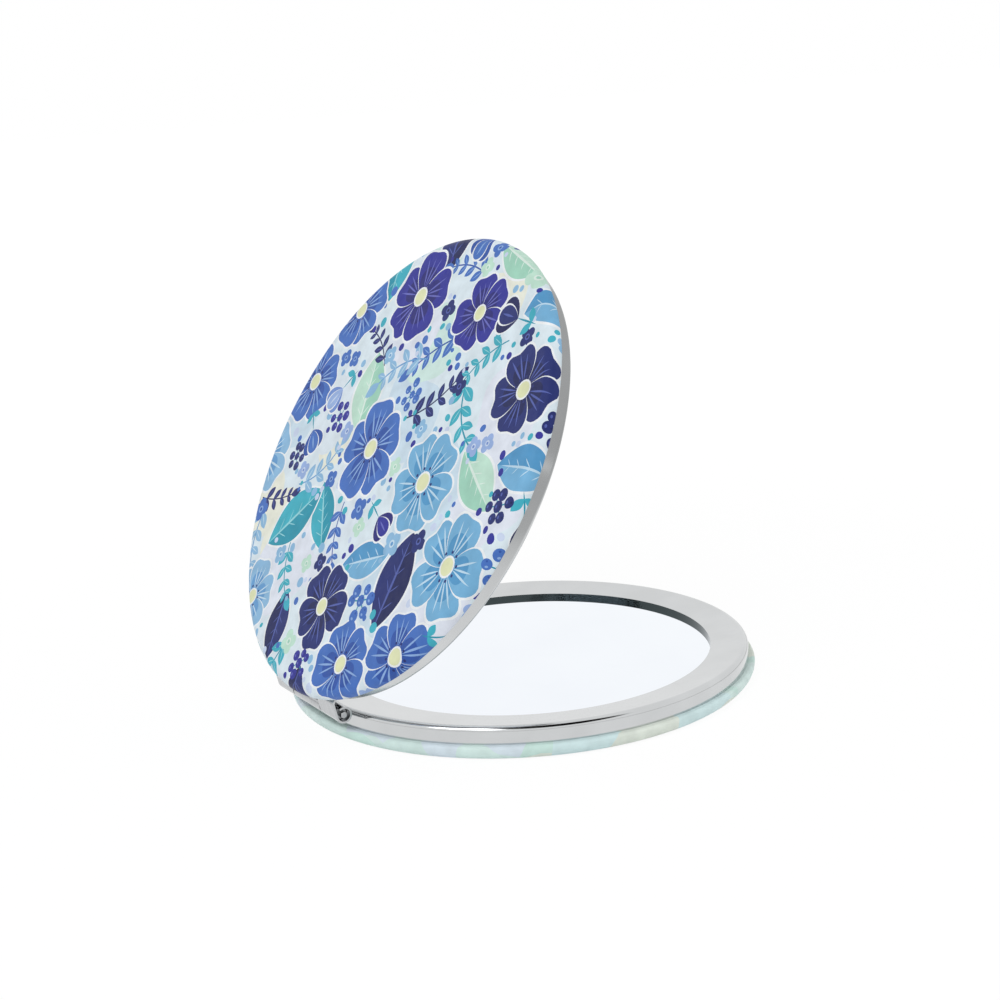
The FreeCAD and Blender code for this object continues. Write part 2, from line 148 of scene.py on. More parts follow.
def make_camera():
    """The camera at the photograph's viewpoint."""
    back, right = direction(CAMERA_AZIMUTH, CAMERA_ELEVATION)
    up = back.cross(right)
    roll = math.radians(CAMERA_ROLL)
    rolled_right = right * math.cos(roll) + up * math.sin(roll)
    rolled_up = up * math.cos(roll) - right * math.sin(roll)
    data = bpy.data.cameras.new("camera")
    data.sensor_width = SENSOR
    data.lens = FOCAL_PIXELS / IMAGE_PIXELS * SENSOR
    data.clip_start = CLIP_START
    camera = add_object("camera", data)
    camera.matrix_world = Matrix((rolled_right, rolled_up, back)).transposed().to_4x4()
    camera.location = (back * CAMERA_DISTANCE - rolled_right * CAMERA_RIGHT - rolled_up * CAMERA_UP) * MM
    bpy.context.scene.camera = camera


make_camera()


# Colours

def channel_level(part):
    """An sRGB channel from 0 to 1 as a linear level."""
    if part <= 0.04045:
        return part / 12.92
    return ((part + 0.055) / 1.055) ** 2.4


def linear(code):
    """A hex colour as linear RGBA."""
    parts = [int(code[index:index + 2], 16) / 255 for index in (1, 3, 5)]
    return tuple(channel_level(part) for part in parts) + (1.0,)


# Each print colour as its main, shaded and light tones
ROYAL = (linear("#4a75c4"), linear("#355aac"), linear("#8fb2e4"))
INDIGO = (linear("#35379a"), linear("#2a2a78"), linear("#6a6ec2"))
NAVY = (linear("#283374"), linear("#1f2659"), linear("#5765b0"))
SKY = (linear("#92c0e4"), linear("#6aa2d6"), linear("#cbe4f5"))
PERIWINKLE = (linear("#9db8e8"), linear("#7796d8"), linear("#d0dff6"))
TEAL = (linear("#44b4c8"), linear("#2f9ab2"), linear("#98d8e0"))
MINT = (linear("#c6ead8"), linear("#a6dac4"), linear("#e4f5ec"))
AQUA = (linear("#7ab6de"), linear("#579ccd"), linear("#c2e0f3"))
ICE = (linear("#cfdcf4"), linear("#b0c4ea"), linear("#e8eefa"))
CREAM = linear("#e8ecc0")
WHITE = linear("#f4f8fb")
GROUND = linear("#e2f0f8")
LID_WASHES = [linear(code) for code in ("#d6f0ea", "#e6ecf8", "#f0f2e4", "#d2e6f4", "#e2eef7")]
BASE_WASHES = [linear(code) for code in ("#d6f2ea", "#dff5f0", "#eaf2e8", "#dcf3f4", "#e2f6f2")]

# The ring's plating, and the painted shade at its opening's cut edge, where the gap under the lip is dark, as
# shares of the chrome's colour
PLATED_TONE = (1.0, 1.0, 1.0, 1.0)
OPENING_SHADE_TONE = (0.09, 0.11, 0.11, 1.0)


# Materials

# The range that most of a noise value lies in
NOISE_MIDDLE = (0.3, 0.7)
FULL_RANGE = (0.0, 1.0)
# Detail of the noise: usual, in the marks on metal, and in the grain of dull materials and leather
NOISE_DETAIL = 3.0
MARKS_DETAIL = 4.0
GRAIN_DETAIL = 5.0
# Strength of the bump of a dull material's grain
GRAIN_BUMP = 0.4
# Leather: features per metre and the range of its washes and its gloss, and its pebbles' size and height
WASH_SCALE = 420
WASH_TONES = (0.9, 1.06)
GLOSS_SCALE = 900
LEATHER_ROUGHNESS = (0.45, 0.56)
LEATHER_SPECULAR = 0.22
PEBBLE_SCALE = 1900
PEBBLE_BUMP = 0.22
PEBBLE_HEIGHT = 0.00006


def new_material(name):
    """A node material and its Principled shader."""
    material = bpy.data.materials.new(name)
    material.use_nodes = True
    return material, material.node_tree.nodes["Principled BSDF"]


def add_node(tree, kind, **settings):
    """A new node with some of its settings."""
    node = tree.nodes.new(kind)
    for key, setting in settings.items():
        setattr(node, key, setting)
    return node


def noise(tree, scale, detail=NOISE_DETAIL, stretch=(1, 1, 1)):
    """A noise value over the object's own coordinates; scale is in features per metre."""
    place = add_node(tree, "ShaderNodeTexCoord")
    mapping = add_node(tree, "ShaderNodeMapping")
    mapping.inputs["Scale"].default_value = stretch
    texture = add_node(tree, "ShaderNodeTexNoise")
    texture.inputs["Scale"].default_value = scale
    texture.inputs["Detail"].default_value = detail
    tree.links.new(place.outputs["Object"], mapping.inputs["Vector"])
    tree.links.new(mapping.outputs["Vector"], texture.inputs["Vector"])
    return texture.outputs["Fac"]


def map_range(tree, value, ends, results, **settings):
    """Maps a value between two ends to one between two results."""
    node = add_node(tree, "ShaderNodeMapRange", **settings)
    for name, number in zip(("From Min", "From Max", "To Min", "To Max"), (*ends, *results)):
        node.inputs[name].default_value = number
    tree.links.new(value, node.inputs["Value"])
    return node.outputs["Result"]


def bump(tree, shader, height, strength, distance):
    """Raises the shader's surface; distance is in metres."""
    node = add_node(tree, "ShaderNodeBump")
    node.inputs["Strength"].default_value = strength
    node.inputs["Distance"].default_value = distance
    tree.links.new(height, node.inputs["Height"])
    tree.links.new(node.outputs["Normal"], shader.inputs["Normal"])


def two_tone(tree, shader, value, low, high):
    """Varies the base colour between two colours."""
    node = add_node(tree, "ShaderNodeMix", data_type="RGBA")
    node.inputs["A"].default_value = low
    node.inputs["B"].default_value = high
    tree.links.new(value, node.inputs["Factor"])
    tree.links.new(node.outputs["Result"], shader.inputs["Base Color"])


def multiply_colours(tree, shader, first, second):
    """Sets the base colour to one colour times another."""
    node = add_node(tree, "ShaderNodeMix", data_type="RGBA", blend_type="MULTIPLY")
    node.inputs["Factor"].default_value = 1.0
    tree.links.new(first, node.inputs["A"])
    tree.links.new(second, node.inputs["B"])
    tree.links.new(node.outputs["Result"], shader.inputs["Base Color"])


def metal(name, low, high, roughness, scale, stretch=(1, 1, 1)):
    """Bare or plated metal with faint marks; roughness is its range, scale the marks per metre."""
    material, shader = new_material(name)
    tree = material.node_tree
    shader.inputs["Metallic"].default_value = 1.0
    marks = noise(tree, scale, MARKS_DETAIL, stretch)
    two_tone(tree, shader, map_range(tree, marks, NOISE_MIDDLE, FULL_RANGE), linear(low), linear(high))
    rough = map_range(tree, marks, NOISE_MIDDLE, roughness)
    tree.links.new(rough, shader.inputs["Roughness"])
    return material


def framed_chrome():
    """Bright chrome, darkened by painted shade where the mesh's tone says so."""
    material = metal("chrome_look", "#c8cacb", "#cfd1d2", (0.1, 0.15), 160)
    tree = material.node_tree
    shader = tree.nodes["Principled BSDF"]
    plating = shader.inputs["Base Color"].links[0].from_socket
    tone = add_node(tree, "ShaderNodeAttribute", attribute_name="tone")
    multiply_colours(tree, shader, plating, tone.outputs["Color"])
    return material


def plain(name, low, high, roughness, scale, height):
    """A dull material with a mottled colour and a fine grain; scale is per metre, height in metres."""
    material, shader = new_material(name)
    tree = material.node_tree
    grain = noise(tree, scale, GRAIN_DETAIL)
    two_tone(tree, shader, map_range(tree, grain, NOISE_MIDDLE, FULL_RANGE), linear(low), linear(high))
    shader.inputs["Roughness"].default_value = roughness
    bump(tree, shader, grain, GRAIN_BUMP, height)
    return material


def printed_leather():
    """Satin leathercloth whose print is in the mesh's colours, with a pebbled grain."""
    material, shader = new_material("printed_leather_look")
    tree = material.node_tree
    print_colour = add_node(tree, "ShaderNodeAttribute", attribute_name="print")
    wash = map_range(tree, noise(tree, WASH_SCALE, GRAIN_DETAIL), NOISE_MIDDLE, WASH_TONES)
    tone = add_node(tree, "ShaderNodeCombineColor")
    for channel in ("Red", "Green", "Blue"):
        tree.links.new(wash, tone.inputs[channel])
    multiply_colours(tree, shader, print_colour.outputs["Color"], tone.outputs["Color"])
    pebbles = add_node(tree, "ShaderNodeTexVoronoi", feature="SMOOTH_F1")
    pebbles.inputs["Scale"].default_value = PEBBLE_SCALE
    place = add_node(tree, "ShaderNodeTexCoord")
    tree.links.new(place.outputs["Object"], pebbles.inputs["Vector"])
    bump(tree, shader, pebbles.outputs["Distance"], PEBBLE_BUMP, PEBBLE_HEIGHT)
    rough = map_range(tree, noise(tree, GLOSS_SCALE), NOISE_MIDDLE, LEATHER_ROUGHNESS)
    tree.links.new(rough, shader.inputs["Roughness"])
    shader.inputs["Specular IOR Level"].default_value = LEATHER_SPECULAR
    return material


LEATHER_LOOK = printed_leather()
CHROME = framed_chrome()
HINGE_CHROME = metal("hinge_chrome_look", "#acaeb0", "#c2c4c6", (0.14, 0.24), 900, (1, 6, 0.4))
STEEL = metal("steel_look", "#a9abad", "#bfc1c3", (0.26, 0.38), 700)
MAGNET = metal("magnet_look", "#aaa79f", "#bdb9b0", (0.2, 0.3), 500)
MIRROR = metal("mirror_look", "#f1f5fb", "#f4f8fd", (0.008, 0.014), 60)
BOARD = plain("board_look", "#9a8f80", "#b3a997", 0.9, 1500, 0.00005)
TAPE = plain("tape_look", "#dddcd4", "#eceae3", 0.7, 900, 0.00002)


# Pieces

def half_matrix(half):
    """Where a flat half goes, in millimetres: the lid is turned over to the hinge and swung open."""
    if half == "base":
        return Matrix.Identity(4)
    beside = Matrix.Translation((2 * HINGE.x, 0, 0)) @ Matrix.Rotation(math.pi, 4, "Z")
    swing = Matrix.Rotation(math.radians(180 - OPENING), 4, "Y")
    return Matrix.Translation(HINGE) @ swing @ Matrix.Translation(-HINGE) @ beside


def new_mesh(name, points, faces):
    """A mesh of points and faces."""
    mesh = bpy.data.meshes.new(name)
    mesh.from_pydata(points, [], faces)
    return mesh


def new_piece(name, points, faces):
    """An object in millimetres with its faces turned outwards."""
    mesh = new_mesh(name, points, faces)
    shape = bmesh.new()
    shape.from_mesh(mesh)
    bmesh.ops.recalc_face_normals(shape, faces=shape.faces)
    shape.to_mesh(mesh)
    shape.free()
    return add_object(name, mesh)


def apply_modifiers(piece):
    """Turns what a piece's modifiers make of it into its mesh."""
    bpy.context.view_layer.update()
    graph = bpy.context.evaluated_depsgraph_get()
    mesh = bpy.data.meshes.new_from_object(piece.evaluated_get(graph))
    piece.modifiers.clear()
    plain_mesh = piece.data
    piece.data = mesh
    bpy.data.meshes.remove(plain_mesh)


def carve(piece, cutters):
    """Takes the cutters' shapes out of a piece."""
    for cutter in cutters:
        cut = piece.modifiers.new("cut", "BOOLEAN")
        cut.operation = "DIFFERENCE"
        cut.solver = "EXACT"
        cut.object = cutter
    apply_modifiers(piece)
    for cutter in cutters:
        mesh = cutter.data
        bpy.data.objects.remove(cutter)
        bpy.data.meshes.remove(mesh)


def soften(piece, width, sharp_degrees):
    """Breaks the sharp edges with a small bevel, unless its width is 0, and smooths the shading."""
    sharp = math.radians(sharp_degrees)
    if width:
        edge = piece.modifiers.new("edge", "BEVEL")
        edge.width = width
        edge.segments = 2
        edge.limit_method = "ANGLE"
        edge.angle_limit = sharp
        apply_modifiers(piece)
    piece.data.shade_smooth()
    piece.data.set_sharp_from_angle(angle=sharp)
    piece.modifiers.new("normals", "WEIGHTED_NORMAL").keep_sharp = True
    apply_modifiers(piece)


def settle(piece, half, material, slot, *nodes):
    """Sets a finished piece in place of its CAD nodes."""
    piece.data.transform(Matrix.Scale(MM, 4) @ half_matrix(half))
    piece.data.materials.clear()
    piece.data.materials.append(material)
    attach(piece, half)
    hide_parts(*nodes)


def polar(radius, angle):
    """A point at a distance and an angle from the origin."""
    return Vector((radius * math.cos(angle), radius * math.sin(angle)))


def round_corner(before, corner, after, radius, steps=ARC_STEPS):
    """The points of an arc that rounds a corner of an outline."""
    to_before = (before - corner).normalized()
    to_after = (after - corner).normalized()
    half_angle = to_before.angle(to_after) / 2
    reach = radius / math.tan(half_angle)
    centre = corner + (to_before + to_after).normalized() * (radius / math.sin(half_angle))
    start = corner + to_before * reach - centre
    end = corner + to_after * reach - centre
    first = math.atan2(start.y, start.x)
    turn = math.remainder(math.atan2(end.y, end.x) - first, TAU)
    angles = [first + turn * step / steps for step in range(steps + 1)]
    return [centre + Vector((math.cos(angle), math.sin(angle))) * radius for angle in angles]


def lathe(name, outline_at):
    """A closed outline of radius and height, given at each angle, turned about Z."""
    points = []
    faces = []
    count = len(outline_at(0))
    for step in range(AROUND):
        angle = TAU * step / AROUND
        cosine = math.cos(angle)
        sine = math.sin(angle)
        points += [(point.x * cosine, point.x * sine, point.y) for point in outline_at(angle)]
        following = (step + 1) % AROUND
        for index in range(count):
            beside = (index + 1) % count
            corners = (step * count + index, step * count + beside)
            faces.append(corners + (following * count + beside, following * count + index))
    return new_piece(name, points, faces)


def prism(name, outline, near, far):
    """An outline in the XZ plane drawn out along Y."""
    count = len(outline)
    points = [(point.x, near, point.y) for point in outline]
    points += [(point.x, far, point.y) for point in outline]
    faces = [tuple(range(count)), tuple(range(count, 2 * count))]
    for index in range(count):
        beside = (index + 1) % count
        faces.append((index, beside, count + beside, count + index))
    return new_piece(name, points, faces)


def box_outline(left, right, low, high):
    """A rectangle as an outline."""
    return [Vector((left, low)), Vector((right, low)), Vector((right, high)), Vector((left, high))]


# Chromed frames

# Ends of the cutting shapes, well clear of the pieces that they cut
FAR_OUTSIDE = HINGE.x - 4 * BARREL_RADIUS
FAR_ABOVE = 3 * HINGE.z
# Widths of the hinge leaves
LEAF_WIDTHS = {"base": CENTRE_KNUCKLE, "lid": HINGE_LENGTH}
# A face is upright if its normal rises less than this
UPRIGHT = 0.5


def face_height(radius):
    """Height of the dished face at a distance from the wall's centre."""
    slope = (FRAME_TOP - LIP_TOP) / (WALL_RADIUS - OPENING_RADIUS)
    return FRAME_TOP - slope * (WALL_RADIUS - radius)


def ring_outline(angle):
    """The ring's section at an angle; its opening sits forward of the wall's centre."""
    aside = OPENING_FORWARD * math.sin(angle)
    inner = OPENING_FORWARD * math.cos(angle) + math.sqrt(OPENING_RADIUS ** 2 - aside ** 2)
    lip_back = inner + FRAME_SHEET
    foot = Vector((WALL_RADIUS, COVER_TOP))
    rim = Vector((WALL_RADIUS, FRAME_TOP))
    lip = Vector((inner, face_height(inner)))
    lip_foot = Vector((inner, MIRROR_FACE))
    outline = [foot]
    outline += round_corner(foot, rim, lip, RIM_ROUND)
    outline += round_corner(rim, lip, lip_foot, LIP_ROUND, LIP_STEPS)
    face_under = Vector((lip_back, face_height(lip_back) - FRAME_SHEET))
    under_rim = Vector((WALL_RADIUS - FRAME_SHEET, FRAME_TOP - FRAME_SHEET))
    wall_foot = Vector((WALL_RADIUS - FRAME_SHEET, COVER_TOP))
    outline += [lip_foot, Vector((lip_back, MIRROR_FACE)), face_under]
    outline += round_corner(face_under, under_rim, wall_foot, RIM_INSIDE, INSIDE_STEPS)
    outline.append(wall_foot)
    return outline


def paint_opening_shade(ring):
    """Paints shade on the cut edge of the opening, darker than the plating, as the dark gap under the lip."""
    mesh = ring.data
    tone = mesh.color_attributes.new("tone", "FLOAT_COLOR", "CORNER")
    middle = Vector((OPENING_FORWARD, 0))
    tones = []
    for polygon in mesh.polygons:
        upright = abs(polygon.normal.z) < UPRIGHT
        at_opening = (polygon.center.xy - middle).length < OPENING_RADIUS + LIP_ROUND
        # Upright faces at the opening get painted shade for the dark gap under the lip
        tones += (OPENING_SHADE_TONE if upright and at_opening else PLATED_TONE) * polygon.loop_total
    tone.data.foreach_set("color", tones)


def make_ring(half):
    """Side wall, rolled rim and dished face in one ring, slotted for the leaf and relieved for the barrel."""
    ring = lathe(f"{half}_ring", ring_outline)
    slot_reach = LEAF_WIDTHS[half] / 2 + SLOT_GAP
    slot_top = TRAY_TOP + LEAF_SHEET + SLOT_GAP
    slot = prism("slot", box_outline(FAR_OUTSIDE, -LEAF_END, 0, slot_top), -slot_reach, slot_reach)
    relief_low = HINGE.z - RELIEF_RADIUS
    relief_high = HINGE.z + RELIEF_RADIUS
    relief_outline = box_outline(FAR_OUTSIDE, RELIEF_X, relief_low, relief_high)
    relief = prism("relief", relief_outline, -HINGE_LENGTH / 2, HINGE_LENGTH / 2)
    carve(ring, [relief, slot])
    soften(ring, 0, RING_SHARP)
    # Painted shade on the opening's cut edge
    paint_opening_shade(ring)
    settle(ring, half, CHROME, "chrome", f"{half}_frame")


# Hinge

def leaf_outline():
    """The side view of a leaf: a flange, a sloping plate and a knuckle rolled round the pin."""
    foot = Vector((-WALL_RADIUS, TRAY_TOP))
    flange_end = Vector((-LEAF_END, TRAY_TOP))
    flange_top = flange_end + Vector((0, LEAF_SHEET))
    to_foot = foot - AXIS
    sine = BARREL_RADIUS / to_foot.length
    along = to_foot.normalized()
    side = Vector((along.y, -along.x))
    facing = along * sine + side * math.sqrt(1 - sine ** 2)
    touch_outer = AXIS + facing * BARREL_RADIUS
    touch_inner = AXIS + facing * BORE_RADIUS
    slope = (foot - touch_outer).normalized()
    inner_foot = touch_inner + slope * ((touch_inner.y - foot.y - LEAF_SHEET) / -slope.y)
    first = math.atan2(facing.y, facing.x) % TAU
    last = -math.acos(CURL_END / BARREL_RADIUS)
    angles = [first + (last - first) * step / CURL_STEPS for step in range(CURL_STEPS + 1)]
    turns = [Vector((math.cos(angle), math.sin(angle))) for angle in angles]
    outer = [AXIS + turn * BARREL_RADIUS for turn in turns]
    inner = [AXIS + turn * BORE_RADIUS for turn in reversed(turns)]
    bend_outer = round_corner(flange_end, foot, touch_outer, BEND_OUTSIDE, BEND_STEPS)
    bend_inner = round_corner(touch_inner, inner_foot, flange_top, BEND_INSIDE, BEND_STEPS)
    return [flange_end] + bend_outer + outer + inner + bend_inner + [flange_top]


def make_leaf(half):
    """A rolled sheet leaf; the lid's is notched for the base's knuckle."""
    reach = LEAF_WIDTHS[half] / 2
    leaf = prism(f"{half}_leaf", leaf_outline(), -reach, reach)
    if half == "lid":
        notch_reach = CENTRE_KNUCKLE / 2 + KNUCKLE_GAP
        notch_outline = box_outline(FAR_OUTSIDE, RELIEF_X, 0, FAR_ABOVE)
        carve(leaf, [prism("notch", notch_outline, -notch_reach, notch_reach)])
    soften(leaf, LEAF_EDGE, HINGE_SHARP)
    settle(leaf, half, HINGE_CHROME, "chrome", f"{half}_hinge_leaf")


def make_pin():
    """The hinge pin with a turned-down, rounded nose at each end."""
    half_length = HINGE_LENGTH / 2
    shank = half_length - NOSE_LENGTH
    end_middle = Vector((0, half_length))
    nose_end = Vector((NOSE_RADIUS, half_length))
    nose_foot = Vector((NOSE_RADIUS, shank))
    upper = round_corner(end_middle, nose_end, nose_foot, NOSE_ROUND, BEND_STEPS)
    upper += [nose_foot, Vector((PIN_RADIUS, shank))]
    lower = [Vector((point.x, -point.y)) for point in reversed(upper)]
    profile = upper + lower
    points = []
    faces = []
    count = len(profile)
    for step in range(PIN_AROUND):
        angle = TAU * step / PIN_AROUND
        turned = Vector((math.cos(angle), math.sin(angle)))
        points += [(AXIS.x + turned.x * spot.x, spot.y, AXIS.y + turned.y * spot.x) for spot in profile]
        following = (step + 1) % PIN_AROUND
        for index in range(count - 1):
            corners = (step * count + index, step * count + index + 1)
            faces.append(corners + (following * count + index + 1, following * count + index))
    faces.append(tuple(step * count for step in range(PIN_AROUND)))
    faces.append(tuple(step * count + count - 1 for step in range(PIN_AROUND)))
    pin = new_piece("pin", points, faces)
    soften(pin, 0, HINGE_SHARP)
    pin.data.transform(Matrix.Scale(MM, 4))
    pin.data.materials.append(STEEL)
    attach(pin, "lid")
    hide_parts("hinge_pin")


# Print motifs: lists of outlines and colours about the origin. Their sizes are shares of the motif's
# radius, their angles are in radians, and a leaf's width is a share of its length.

# How full a leaf's sides are, how a petal narrows to its foot, and the angle that its notch spreads over
LEAF_FULLNESS = 0.85
PETAL_TAPER = 0.4
NOTCH_SPREAD = 0.4
CENTRE = Vector((0, 0))
# Blossoms: the length and width of a petal's white edge and of its shaded inner part as shares of its
# own, the angles of its veins from its middle, where they start, and the centre with its dots
PETALS = 5
PETAL_EDGE = (1.05, 1.09)
PETAL_INNER = (0.62, 0.6)
PETAL_VEINS = (-0.26, 0.02, 0.27)
VEIN_FOOT = 0.2
VEIN_WIDTH = 0.035
CENTRE_EDGE = 0.21
CENTRE_SIZE = 0.17
DOTS = 9
DOT_PLACE = 0.27
DOT_SIZE = 0.032
# Sprigs: half the stem's width, its divisions, and where along it the pairs of leaves are
STEM_HALF = 0.022
STEM_STEPS = 12
LEAF_PAIRS = (0.14, 0.36, 0.58, 0.78)
# Broad leaves: points along a side, and the number of pairs of side veins
BLADE_POINTS = 20
SIDE_VEINS = 4
# Buds: points round a petal, and the turns of the side petals
BUD_POINTS = 22
BUD_TURN = 0.42
# Berries, the petals of a floret, and the points round a wash of colour
BERRIES = 6
FLORET_PETALS = 4
PATCH_POINTS = 36
PATCH_WOBBLE = 0.09


def blob(spot, across, along, turn=0.0, count=18):
    """An ellipse."""
    angles = [TAU * step / count for step in range(count)]
    turned = Matrix.Rotation(turn, 2)
    return [turned @ Vector((across * math.cos(angle), along * math.sin(angle))) + spot for angle in angles]


def disc(spot, radius, count=18):
    """A circle."""
    return blob(spot, radius, radius, 0.0, count)


def leaf_shape(start, end, width, count=11):
    """A pointed leaf between two points."""
    along = end - start
    across = Vector((-along.y, along.x)) * width
    shares = [step / count for step in range(count + 1)]
    spreads = [math.sin(math.pi * share) ** LEAF_FULLNESS for share in shares]
    one_side = [start + along * share + across * spread for share, spread in zip(shares, spreads)]
    other_side = [start + along * share - across * spread for share, spread in zip(shares, spreads)]
    return one_side + other_side[-2:0:-1]


def petal(angle, length, width, notch, count=30):
    """A rounded petal from the origin, with a notch at its tip."""
    turned = Matrix.Rotation(angle, 2)
    outline = []
    for step in range(count):
        way = TAU * step / count
        rise = (1 - math.cos(way)) / 2
        dip = notch * math.exp(-((way - math.pi) / NOTCH_SPREAD) ** 2)
        side = width * math.sin(way) * rise ** PETAL_TAPER
        outline.append(turned @ Vector((length * (rise - dip), side)))
    return outline


def blossom(rng, colours):
    """Overlapping notched petals with veins, about a dotted yellow centre."""
    main, shade, light = colours
    edge_length, edge_width = PETAL_EDGE
    inner_length, inner_width = PETAL_INNER
    shapes = []
    for number in range(PETALS):
        angle = TAU * number / PETALS + rng.uniform(-0.09, 0.09)
        length = rng.uniform(0.92, 1.06)
        width = rng.uniform(0.5, 0.58)
        notch = rng.uniform(0.07, 0.16)
        shapes.append((petal(angle, length * edge_length, width * edge_width, notch), WHITE))
        shapes.append((petal(angle, length, width, notch), main))
        shapes.append((petal(angle, length * inner_length, width * inner_width, 0.0), shade))
        for side in PETAL_VEINS:
            reach = length * rng.uniform(0.72, 0.86)
            foot = polar(VEIN_FOOT, angle + side * 0.5)
            shapes.append((leaf_shape(foot, polar(reach, angle + side), VEIN_WIDTH, 7), light))
    shapes.append((disc(CENTRE, CENTRE_EDGE), WHITE))
    shapes.append((disc(CENTRE, CENTRE_SIZE), CREAM))
    for number in range(DOTS):
        spot = polar(DOT_PLACE, TAU * number / DOTS + rng.uniform(-0.1, 0.1))
        shapes.append((disc(spot, DOT_SIZE, 8), NAVY[0]))
    return shapes


def sprig(rng, colours):
    """A curved stem with paired leaves and one leaf at its tip."""
    main, shade, light = colours
    bend = rng.uniform(0.12, 0.3)

    def stem(share):
        across = 2 * share - 1
        return Vector((across, bend * (1 - across ** 2)))

    stem_half = Vector((0, STEM_HALF))
    shares = [step / STEM_STEPS for step in range(STEM_STEPS)]
    upper = [stem(share) + stem_half for share in shares]
    lower = [stem(share) - stem_half for share in shares]
    shapes = [(upper + lower[::-1], shade)]
    for number, share in enumerate(LEAF_PAIRS):
        foot = stem(share)
        slope = math.atan2(-bend * 4 * (2 * share - 1), 2)
        length = 0.52 - 0.06 * number
        for side in (1, -1):
            angle = slope + side * rng.uniform(0.75, 1.0)
            shapes.append((leaf_shape(foot, foot + polar(length, angle), 0.25), main))
            shapes.append((leaf_shape(foot, foot + polar(length * 0.8, angle), VEIN_WIDTH, 6), light))
    shapes.append((leaf_shape(stem(0.88), stem(1.0) + polar(0.28, -bend), 0.27), main))
    return shapes


def broad_leaf(rng, colours):
    """One broad leaf, half of it shaded, with a pale midrib and side veins."""
    main, shade, light = colours
    width = rng.uniform(0.24, 0.3)
    foot = Vector((-1, 0))
    blade = leaf_shape(foot, Vector((1, 0)), width, BLADE_POINTS)
    edge = leaf_shape(Vector((-1.05, 0)), Vector((1.05, 0)), width * 1.07, BLADE_POINTS)
    shapes = [(edge, WHITE), (blade, main), (blade[:BLADE_POINTS + 1], shade)]
    shapes.append((leaf_shape(foot, Vector((0.85, 0)), 0.018, 8), light))
    for number in range(SIDE_VEINS):
        vein_foot = Vector((-0.6 + 0.36 * number, 0))
        for side in (1, -1):
            tip = vein_foot + polar(0.36 - 0.04 * number, side * rng.uniform(0.75, 0.9))
            shapes.append((leaf_shape(vein_foot, tip, 0.04, 5), light))
    return shapes


def bud(rng, colours):
    """A cup of three petals on a short stem with two leaves."""
    main, shade, light = colours
    shapes = [(leaf_shape(Vector((-1, 0)), Vector((0.05, 0)), 0.03, 6), TEAL[1])]
    for side in (1, -1):
        tip = Vector((-0.2, 0)) + polar(0.5, side * rng.uniform(1.9, 2.3))
        shapes.append((leaf_shape(Vector((-0.75, 0)), tip, 0.26), TEAL[0]))
    for turn, tone in ((BUD_TURN, shade), (-BUD_TURN, shade), (0.0, main)):
        shapes.append((petal(turn, 1.05, 0.44, 0.0, BUD_POINTS), WHITE))
        shapes.append((petal(turn, 0.98, 0.38, 0.0, BUD_POINTS), tone))
    shapes.append((leaf_shape(Vector((0.25, 0)), Vector((0.85, 0)), 0.06, 6), light))
    return shapes


def berries(rng, colours):
    """A loose cluster of round berries on fine stems, each with a light and a shaded spot."""
    main, shade, light = colours
    shapes = []
    spots = []
    for number in range(BERRIES):
        distance = rng.uniform(0.55, 0.75)
        spots.append(polar(distance, TAU * number / BERRIES + rng.uniform(-0.2, 0.2)))
    for spot in spots:
        shapes.append((leaf_shape(CENTRE, spot, 0.05, 5), TEAL[1]))
    for spot in spots + [CENTRE]:
        size = rng.uniform(0.24, 0.31)
        light_spot = Vector((spot.x - size * 0.3, spot.y + size * 0.3))
        shaded_spot = Vector((spot.x + size * 0.35, spot.y - size * 0.4))
        shapes.append((disc(spot, size), main))
        shapes.append((blob(light_spot, size * 0.3, size * 0.2, 0.7, 9), light))
        shapes.append((disc(shaded_spot, size * 0.2, 8), shade))
    return shapes


def floret(rng, colours):
    """A small flower of round petals."""
    main, shade, light = colours
    shapes = []
    for number in range(FLORET_PETALS):
        spot = polar(0.52, TAU * number / FLORET_PETALS + rng.uniform(-0.1, 0.1))
        shapes.append((disc(spot, 0.46, 16), main))
    shapes.append((disc(CENTRE, 0.3, 12), light))
    shapes.append((disc(CENTRE, 0.16, 9), shade))
    return shapes


def dot(rng, colours):
    """A slightly oval dot."""
    return [(blob(CENTRE, 1, rng.uniform(0.8, 1.0), rng.uniform(0, TAU), 12), colours[0])]


def patch(rng, colour):
    """A wash of colour on the ground, with a wavy edge."""
    phases = [rng.uniform(0, TAU) for _ in range(3)]
    outline = []
    for step in range(PATCH_POINTS):
        angle = TAU * step / PATCH_POINTS
        wobble = sum(math.sin(angle * (order + 2) + phase) for order, phase in enumerate(phases))
        outline.append(polar(1 + PATCH_WOBBLE * wobble, angle))
    return [(outline, colour)]


# The motifs in the order that they are placed: maker, count, least and greatest radius in millimetres,
# the share of the radius that is kept clear, and the colours to choose from
PLANTING = (
    (blossom, 13, 6.2, 8.0, 0.92, (ROYAL, INDIGO, AQUA, ROYAL, NAVY, SKY)),
    (broad_leaf, 14, 5.4, 7.4, 0.6, (TEAL, NAVY, AQUA, MINT)),
    (sprig, 13, 5.0, 7.0, 0.58, (TEAL, ROYAL, SKY, NAVY)),
    (bud, 13, 4.0, 5.2, 0.62, (NAVY, ROYAL, PERIWINKLE, INDIGO)),
    (berries, 15, 2.6, 3.6, 0.78, (NAVY, ROYAL, INDIGO)),
    (floret, 46, 1.5, 2.4, 0.9, (SKY, PERIWINKLE, ROYAL, MINT, NAVY)),
    (dot, 150, 0.4, 0.85, 1.1, (TEAL, ROYAL, ICE, SKY, INDIGO)),
)
# The motifs that lie over the others where they meet
UPPER_MOTIFS = (blossom, bud, berries)
# Tries at a free place for each motif that is wanted
TRIES = 60
PATCH_RADII = (4.5, 8.5)
# Distance along the leather that the ground's washes of colour are spread over
WASHED = 37.5


